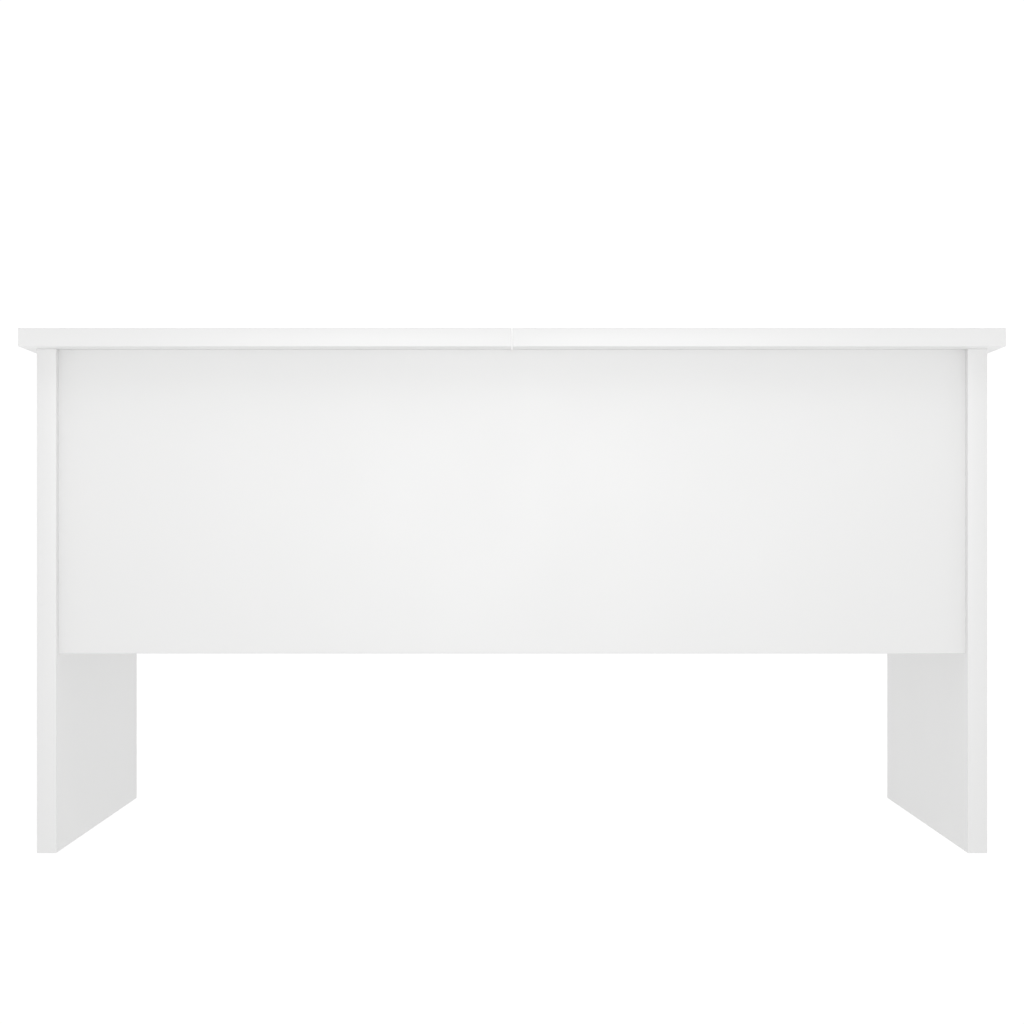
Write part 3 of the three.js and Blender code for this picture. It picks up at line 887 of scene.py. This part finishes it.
def makeScrews(fit, name, body):
    # flush countersunk screws, because the arms pass just over them
    places = bracketScrews()
    spots = placed(fit, fitting["plate"], places[:, 0], places[:, 1])
    setHeads(name, crossHead(screws, screws["flushHeight"]), spots,
             np.array([0, fit["side"], 0]), np.array([0, 0, 1]), body, screwSteel,
             np.arange(len(places)) * screws["nextTurn"] + screws["firstTurn"])


rail = {
    "drop": 20 * mm,  # of the web at the front
    "bend": 3 * mm,  # outer radius between web and flange
    "frontCorner": 8 * mm,
    "bead": 0.8 * mm,  # pressed out of the web, level
    "beadHalf": 4.4 * mm,
    "beadWall": 2.4 * mm,
    "beadDrop": 11.5 * mm,
    "beadClear": 19 * mm,
    "screwShare": 0.62,  # of the flange, out from the web
    "screwInset": 11 * mm,
    "screwCount": 4,
    "firstTurn": 0.35,
    "nextTurn": 0.9,
    "endCorner": 0.5 * mm,
    "dipCorners": (10 * mm, 14 * mm),  # where the web runs down to the front pivot
    "steps": 130,
}


def railFloor(frontY, rearY, top):
    # the web's lower edge as a function of y: the bottom of its rounded outline
    boss, drop = fitting["boss"], top - rail["drop"]
    corners = [(frontY, top, rail["endCorner"]), (frontY, drop, rail["frontCorner"]),
               (frontTop[0] - 2 * boss, drop, rail["dipCorners"][0]),
               (frontTop[0], frontTop[1] - boss, rail["dipCorners"][1]),
               (rearTop[0] - boss, rearTop[1] - boss, boss), (rearY, rearTop[1] - boss, boss),
               (rearY, top, rail["endCorner"])]
    arcPoints = 9
    chain = roundedOutline(corners, arcPoints - 1)[0][arcPoints:-arcPoints]
    y = np.unique(np.concatenate([chain[:, 0], np.linspace(frontY, rearY, rail["steps"])]))
    return y, np.interp(y, chain[:, 0], chain[:, 1])


def arc(centreS, centreZ, radius, start, end, steps=6):
    # places round a part of a circle, from one angle in degrees to another
    angle = np.radians(np.linspace(start, end, steps))
    return centreS + radius * np.cos(angle), centreZ + radius * np.sin(angle)


def railSection(fit, floor, top):
    # the angle section at each y as (layer, z): up the web, round the bend, out along the
    # flange and back, down the web and round its toe; and how many of the places are toe
    plate, edge = fitting["plate"], fitting["edge"]
    webNear, webFar = fit["webNear"], fit["webNear"] + plate
    out, bend, inner = fit["flangeEdge"] - edge, rail["bend"], rail["bend"] - plate
    toeLevel = floor[:, None] + edge
    upperWeb = np.linspace(top - rail["drop"], top - bend, 16)
    lowerShare = np.linspace(0, 1, 12, endpoint=False)
    lowerWeb = np.minimum(toeLevel, upperWeb[0]) * (1 - lowerShare) + upperWeb[0] * lowerShare
    webZ = np.maximum(np.concatenate([lowerWeb, upperWeb + 0 * toeLevel], 1), toeLevel)
    backZ = np.minimum(webZ[:, ::-1], top - plate - inner)
    topS = np.linspace(webNear + bend, out, 8)[1:-1]
    underS = np.linspace(out, webFar + inner, 10)[1:-1]
    flangeS, flangeZ = np.concatenate([
        arc(webNear + bend, top - bend, bend, 180, 90), [topS, top + 0 * topS],
        arc(out, top - edge, edge, 90, 0, 4), arc(out, top - plate + edge, edge, 0, -90, 4),
        [underS, top - plate + 0 * underS],
        arc(webFar + inner, top - plate - inner, inner, 90, 180, 5)], 1)
    toeS, toeZ = arc(0, 0, 1, 0, -180, 9)
    level = np.ones((len(floor), 1))
    s = np.concatenate([webNear + 0 * webZ, flangeS * level, webFar + 0 * backZ,
                        (webNear + plate / 2 + toeS * plate / 2) * level], 1)
    z = np.concatenate([webZ, flangeZ * level, backZ, toeLevel + toeZ * edge], 1)
    return s, z, toeS.size


def railBeads(frontY, rearY, y, z, top):
    # how far the web is pressed out: fully along two level lines, falling smoothly beside them
    level, clear = top - rail["beadDrop"], rail["beadClear"]
    spans = [(frontY + clear, frontTop[0] - clear), (frontTop[0] + clear, rearY - clear * 0.8)]
    gap = np.min([awayFrom(np.array([start, level]), np.array([end, level]), y, z)
                  for start, end in spans], 0)
    return rail["bead"] * (1 - smoothStep(rail["beadHalf"] - rail["beadWall"],
                                          rail["beadHalf"], gap))


def makeRail(fit, nodeName, material):
    # the angle section carried along Y, with beads pressed out of the web, and each end drawn
    # in to a point inside the bend
    low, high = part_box(nodeName)
    top, webNear = high.z, fit["webNear"]
    y, floor = railFloor(low.y, high.y, top)
    s, z, toes = railSection(fit, floor, top)
    onWeb = s < webNear + fitting["plate"] + weldDistance
    s = s + railBeads(low.y, high.y, y[:, None], z, top) * onWeb
    rows = placed(fit, s, y[:, None], z)
    middle = rail["bend"] * 0.5
    pole = placed(fit, webNear + middle, y[[0, -1]], top - middle)
    pole = np.repeat(pole[:, None], rows.shape[1], 1)
    points = np.concatenate([pole[:1], rows, pole[1:]])
    worn = np.zeros(points.shape[:2])
    worn[1:-1, -toes:] = 1
    piece = surface(nodeName + "_angle", points, material, marks={"edgeShare": worn})
    standFor(piece, nodeName)

    inset = rail["screwInset"]
    row = np.linspace(low.y + inset, high.y - inset, rail["screwCount"])
    out = webNear + (fit["flangeEdge"] - webNear) * rail["screwShare"]
    spots = placed(fit, out, row, top - fitting["plate"])
    setHeads("rail_screws_" + fit["tag"], crossHead(screws, screws["panHeight"]), spots,
             np.array([0, 1, 0]), np.array([1, 0, 0]), bodyOfNode[nodeName], screwSteel,
             np.arange(len(row)) * rail["nextTurn"] + rail["firstTurn"])


pins = {
    "tenon": 3 * mm,
    "shoulder": 4 * mm,
    "head": 7 * mm,
    "headHeight": 2 * mm,
    "rivet": 4.5 * mm,
    "rivetHeight": 1.2 * mm,
    "dimple": 1.3 * mm,
    "dimpleDepth": 0.45 * mm,
    "washer": 8.2 * mm,
    "washerShare": 0.8,  # of the slip that it fills
    "washerPlay": 0.1 * mm,
    "socket": 3.1 * mm,
    "socketDepth": 4 * mm,
    "socketPlay": 1.08,  # the socket's corners over its round
    "socketLand": 1.0 * mm,
    "socketLead": 0.5 * mm,
    "drillPoint": 0.6 * mm,
    "coreSlope": 0.3 * mm,
    "capSlope": 0.2 * mm,
    "chamfer": 0.6 * mm,
    "chamferDrop": 0.15 * mm,
    "recess": 0.35 * mm,  # in the spool's cap, between these distances from its rim
    "recessFrom": (3.2 * mm, 3.5 * mm),
    "sides": 60,
}


def crowned(start, out, radius, height, dimple=0.0, steps=14):
    # a domed head as (layer, radius): a short upright rim, an elliptic crown that bulges out
    # from the start layer in the direction out, and a round dimple struck in its middle
    angle = np.linspace(0, math.pi / 2, steps)
    reach = radius * np.cos(angle) ** 0.8
    rise = height * (0.3 + 0.7 * np.sin(angle) ** 0.9)
    if dimple:
        rise = rise - pins["dimpleDepth"] * (1 - smoothStep(0.4, 1.0, reach / dimple))
    return np.stack([start + out * np.concatenate([[0], rise]),
                     np.concatenate([[radius], reach])], -1)


def turned(fit, at, profile, widen=1):
    # a profile of (layer, radius) carried round a pivot's line, its radii widened
    angle = np.linspace(0, 2 * math.pi, pins["sides"], endpoint=False)
    layer, radius = profile[:, :1] + 0 * angle, profile[:, 1:] * widen
    return placed(fit, layer, at[0] + radius * np.cos(angle), at[1] + radius * np.sin(angle))


def makeTurned(fit, nodeName, suffix, at, profile, widen=1):
    # a turned piece that stands for a pin, with its tool marks
    marks = ringMarks(profile.sum(1), pins["sides"], "toolPath")
    piece = surface(nodeName + suffix, turned(fit, at, profile, widen), turnedMetal, marks=marks)
    standFor(piece, nodeName)


def closed(profile):
    # the profile with its ends brought in to the line
    return np.vstack([[profile[0, 0], 0], profile, [profile[-1, 0], 0]])


def makeBasePin(fit, nodeName, at):
    # riveted in the bracket; its domed head holds the front arm
    web = fit["webNear"]
    head = crowned(web, 1, pins["head"], pins["headHeight"], pins["dimple"])
    shaft = [[fitting["slip"], pins["tenon"]], [fitting["plate"], pins["tenon"]],
             [fitting["plate"], pins["shoulder"]], [web, pins["shoulder"]]]
    makeTurned(fit, nodeName, "_rivet", at, closed(np.vstack([shaft, head])))


def makeSpringPin(fit, nodeName):
    # the rear base pin: a spool that the spring is wound round, with a chamfered cap and a
    # six-sided socket whose walls are rings of a hexagon
    low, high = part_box(nodeName)
    end = max(fit["side"] * (x - fit["face"]) for x in (low.x, high.x))
    cap = (high.z - low.z) / 2
    core = spring["coilRadius"] - spring["wireRadius"] - spring["coilPlay"]
    web, inner = fit["webNear"], end - pins["headHeight"]
    socket, bottom, chamfer = pins["socket"], end - pins["socketDepth"], pins["chamfer"]
    coreSlope, capSlope, floor = pins["coreSlope"], pins["capSlope"], end - pins["recess"]
    recessTop, recessFoot = (cap - distance for distance in pins["recessFrom"])
    profile = np.array([
        [fitting["slip"], 0], [fitting["slip"], pins["tenon"]],
        [fitting["plate"], pins["tenon"]], [fitting["plate"], pins["shoulder"]],
        [web, pins["shoulder"]], [web, core - coreSlope], [web + coreSlope, core],
        [inner, core], [inner, cap - capSlope], [inner + capSlope, cap], [end - chamfer, cap],
        [end - pins["chamferDrop"], cap - chamfer], [end, cap - 1.6 * chamfer],
        [end, recessTop], [floor, recessFoot], [floor, socket + pins["socketLand"]],
        [end - pins["socketLead"], socket], [bottom, socket],
        [bottom - pins["drillPoint"], 0]])
    angle = np.linspace(0, 2 * math.pi, pins["sides"], endpoint=False)
    sixth = math.pi / 3
    hexagon = 1 / np.cos((angle + sixth / 2) % sixth - sixth / 2) * math.cos(sixth / 2)
    sixSided = np.zeros((len(profile), 1))
    sixSided[-3:-1] = 1
    makeTurned(fit, nodeName, "_spool", rearBase, profile,
               1 + sixSided * (hexagon * pins["socketPlay"] - 1))


def makeTopPin(fit, nodeName, at):
    # a flat domed head between arm and board, and a rivet closed over the rail's web
    headFace, web = fit["armNear"] - fitting["slip"], fit["webNear"]
    webFar = web + fitting["plate"]
    head = crowned(headFace, -1, pins["head"], pins["headHeight"], pins["dimple"])
    rivet = crowned(webFar, 1, pins["rivet"], pins["rivetHeight"], pins["dimple"] * 0.8)
    shaft = [[headFace, pins["shoulder"]], [web, pins["shoulder"]], [web, pins["tenon"]],
             [webFar, pins["tenon"]]]
    makeTurned(fit, nodeName, "_rivet", at, closed(np.vstack([head[::-1], shaft, rivet])))


def makeWasher(fit, name, at, layer, body):
    # a thin nylon ring in the slip between two layers
    thick = fitting["slip"] * pins["washerShare"]
    bore, outer = pins["shoulder"] + pins["washerPlay"], pins["washer"]
    start = layer + (fitting["slip"] - thick) / 2
    profile = np.array([[start, bore], [start, outer], [start + thick, outer],
                        [start + thick, bore]])
    piece = surface(name, turned(fit, at, profile), mouldedNylon, closeRows=True)
    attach(piece, body)


spring = {
    "wireRadius": 1.4 * mm,
    "coilRadius": 10.5 * mm,
    "coilPlay": 1.5 * mm,
    "turns": 5,
    "pitch": 3 * mm,
    "legReach": 45 * mm,
    "anchorReach": 32 * mm,
    "anchorAngle": math.radians(200),
    "bend": 3 * mm,
    "stepsPerTurn": 40,
    "sides": 14,
}


def coilAngles():
    # where the arm's leg meets the coil and where the anchor's leg leaves it, turns included
    coil = spring["coilRadius"]
    armAngle = math.atan2(armDirection[1], armDirection[0])
    meet = armAngle + math.acos(coil / spring["legReach"])
    leave = spring["anchorAngle"] - math.acos(coil / spring["anchorReach"])
    return meet, leave + 2 * math.pi * spring["turns"]


def legPath(tangentPoint, tangentLayer, hookPoint, hookLayer):
    # from the hook's end along X, round a quarter bend, then straight to the coil
    leg = tangentPoint - hookPoint
    leg = leg / np.hypot(*leg)
    bend, way = spring["bend"], np.sign(tangentLayer - hookLayer)
    bendIn, bendWalk = quarterRound(bend, 9)
    bendLayer = tangentLayer - way * bendIn
    hook = np.linspace(hookLayer, bendLayer[0], 5)[:-1]
    reach = float(np.hypot(*(tangentPoint - hookPoint)))
    walk = np.linspace(bend, reach, 10)[1:-1]
    layer = np.concatenate([hook, bendLayer, tangentLayer + 0 * walk])
    walked = np.concatenate([0 * hook, bendWalk, walk])
    return layer, hookPoint + walked[:, None] * leg


def wireTube(fit, name, layer, plane, spoke, material):
    # circles carried along a path; one axis of each circle is the given spoke, which is at
    # right angles to the path, and the other is at right angles to both; closed at both ends
    path = placed(fit, layer, plane[:, 0], plane[:, 1])
    aside = placed(fit, 0, spoke[:, 0], spoke[:, 1]) - [fit["face"], 0, 0]
    tangent = np.gradient(path, axis=0)
    tangent /= np.linalg.norm(tangent, axis=1)[:, None]
    other = np.cross(tangent, aside)
    other /= np.linalg.norm(other, axis=1)[:, None]
    angle = np.linspace(0, 2 * math.pi, spring["sides"], endpoint=False)
    rings = path[:, None] + spring["wireRadius"] * (
        np.cos(angle)[None, :, None] * aside[:, None]
        + np.sin(angle)[None, :, None] * other[:, None])
    ends = np.repeat(path[[0, -1]][:, None], len(angle), 1)
    points = np.concatenate([ends[:1], rings, ends[1:]])
    return surface(name, points, material, sharpAngle=60)


def makeSpring(fit, nodeName, material):
    # one wire in two lengths: the arm's leg with the coil, and the anchor's leg, which
    # stays on the bracket
    meet, leave = coilAngles()
    radius, pitch = spring["coilRadius"], spring["pitch"]
    near = fit["webNear"] + fitting["slip"] + spring["wireRadius"]
    far = near + pitch * (leave - meet) / (2 * math.pi)
    push = rearBase + spring["legReach"] * armDirection
    anchor = rearBase + spring["anchorReach"] * heading(spring["anchorAngle"])
    first, last = rearBase + radius * heading(meet), rearBase + radius * heading(leave)

    count = int(spring["stepsPerTurn"] * (leave - meet) / (2 * math.pi))
    share = np.linspace(0, 1, count)
    angle = meet + share * (leave - meet)
    legLayer, leg = legPath(first, near, push, fit["armNear"] + fitting["slip"])
    layer = np.concatenate([legLayer, near + share * (far - near)])
    plane = np.concatenate([leg, rearBase + radius * heading(angle)])
    spoke = np.concatenate([np.repeat(heading(meet)[None], len(leg), 0), heading(angle)])
    coil = wireTube(fit, nodeName + "_coil", layer, plane, spoke, material)
    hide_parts(nodeName)
    wire = spring["wireRadius"]
    tuple(placed(fit, far - wire, *rearBase))
    tuple(placed(fit, near + wire, *rearBase))
    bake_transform(coil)

    legLayer, leg = legPath(last, far, anchor, fitting["slip"])
    spoke = np.repeat(heading(leave)[None], len(leg) + 1, 0)
    tail = wireTube(fit, "spring_anchor_" + fit["tag"], np.append(legLayer, far),
                    np.vstack([leg, last]), spoke, material)
    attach(tail, bodyOfNode[nodeName])


def makeFitting(tag):
    # the pieces of one lift fitting, and two washers at each of its pivots
    fit = readFitting(tag)
    top = tag.split("_")[0] + "_top"
    makeBracket(fit, "base_bracket_" + tag, zincPlate)
    makeArm(fit, "rear_arm_" + tag, rearBase, zincPlate)
    makeArm(fit, "front_arm_" + tag, frontBase, zincPlate)
    makeRail(fit, "top_rail_" + tag, zincPlate)
    makeBasePin(fit, "front_base_pin_" + tag, frontBase)
    makeSpringPin(fit, "rear_base_pin_" + tag)
    makeTopPin(fit, "rear_top_pin_" + tag, rearTop)
    makeTopPin(fit, "front_top_pin_" + tag, frontTop)
    makeSpring(fit, "torsion_spring_" + tag, springSteel)
    for place, at, body in (("front_base", frontBase, "carcass"),
                            ("rear_base", rearBase, "carcass"),
                            ("front_top", frontTop, top), ("rear_top", rearTop, top)):
        for order, layer in enumerate((fitting["plate"], fit["armFar"])):
            makeWasher(fit, f"washer_{place}_{tag}_{order}", at, layer, body)


smallParts = {
    "soleEdge": 0.7 * mm,
    "bumperEdge": 0.45 * mm,
    "sides": 40,
}


def turnedUpright(name, centre, profile, material):
    # a profile of (height, radius) turned about an upright line, its ends brought in to it
    profile = closed(profile)
    angle = np.linspace(0, 2 * math.pi, smallParts["sides"], endpoint=False)
    height, radius = profile[:, :1], profile[:, 1:]
    points = np.stack([centre[0] + radius * np.cos(angle), centre[1] + radius * np.sin(angle),
                       height + 0 * angle], -1)
    return surface(name, points, material)


def makeGlide(nodeName):
    # a nail-on nylon foot: a sole with a rounded edge, and its pin
    low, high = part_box(nodeName)
    centre, radius = (low + high) / 2, (high.x - low.x) / 2
    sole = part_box("end_panel_left")[0].z
    roundIn, roundUp = quarterRound(smallParts["soleEdge"], 6)
    rounding = np.stack([low.z + roundUp, radius - roundIn], -1)
    pin = [[sole, radius], [sole, radius / 3], [high.z - 1 * mm, radius / 3], [high.z, 0.3 * mm]]
    profile = np.vstack([[[low.z, radius * 0.3]], rounding, pin])
    standFor(turnedUpright(nodeName + "_foot", centre, profile, mouldedNylon),
             nodeName)


def makeBumper(nodeName):
    # a soft stud in its seat, with a rounded upper edge and a flat crown
    low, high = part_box(nodeName)
    centre, radius = (low + high) / 2, (high.x - low.x) / 2
    roundDown, roundIn = quarterRound(smallParts["bumperEdge"], 7)
    rounding = np.stack([high.z - roundDown, radius - roundIn], -1)
    profile = np.vstack([[[low.z, radius]], rounding, [[high.z, radius * 0.3]]])
    standFor(turnedUpright(nodeName + "_stud", centre, profile, softRubber),
             nodeName)


cams = {
    "headRadius": 7.4 * mm,
    "height": 0.6 * mm,
    "crossReach": 4.6 * mm,
    "crossHalf": 0.75 * mm,
    "crossDepth": 0.48 * mm,
    "shankRadius": 6.6 * mm,
    "shankLength": 9 * mm,
    "inset": 34 * mm,  # from the panel's end
    "rise": 40 * mm,  # from the panel's upper and lower edges
    "floorInset": 80 * mm,  # from the floor's front and rear edges
    "turns": ((0.3, 1.1, 0.5, 0.8), (0.9, 0.2, 1.3, 0.6)),  # of the panels' crosses, the floor's
}


def makeCams():
    # cam locks that hold the box together: flush discs with a driver's cross, two at each end
    # of the front and back panels' inner faces, and two at each end under the floor
    def lock(nodeName, x, y, z, across, upward, turns):
        spots = np.stack(np.broadcast_arrays(x.ravel(), y, z), -1)
        setHeads("cam_locks_" + nodeName, crossHead(cams, cams["height"]), spots,
                 np.array(across), np.array(upward), "carcass", camMetal,
                 np.array(turns))
    inset, rise, floorInset = cams["inset"], cams["rise"], cams["floorInset"]
    for nodeName, facing in (("front_panel", 1), ("back_panel", -1)):
        low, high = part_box(nodeName)
        x, z = np.meshgrid((low.x + inset, high.x - inset), (low.z + rise, high.z - rise))
        face = high.y if facing > 0 else low.y
        lock(nodeName, x, face, z.ravel(), (-facing, 0, 0), (0, 0, 1), cams["turns"][0])
    low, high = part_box("bottom_panel")
    x, y = np.meshgrid((low.x + inset, high.x - inset),
                       (low.y + floorInset, high.y - floorInset))
    lock("bottom_panel", x, y.ravel(), low.z, (0, 1, 0), (1, 0, 0), cams["turns"][1])


makeStudio()
print("studio ready")
bodyOfNode = bodiesByNode()
whiteMelamine = makeMelamine()
for boardNode in ("top_left", "top_right", "end_panel_left", "end_panel_right", "front_panel",
                  "back_panel", "bottom_panel", "centre_divider"):
    makeBoard(boardNode, whiteMelamine)
print("boards ready")

zincPlate = makeZinc()
screwSteel = turnedMetal = makeTurnedSteel()
springSteel = makeClouded("springWire", springWire)
camMetal = makeClouded("castZinc", castZinc)
mouldedNylon = makeClouded("nylon", nylon)
softRubber = makeClouded("clearRubber", rubber)
for fittingTag in ("left_outer", "left_inner", "right_inner", "right_outer"):
    makeFitting(fittingTag)
print("lift fittings ready")

for nodeName in bodyOfNode:
    if nodeName.startswith("glide_"):
        makeGlide(nodeName)
    if nodeName.startswith("bumper_"):
        makeBumper(nodeName)
makeCams()
print("small parts ready")
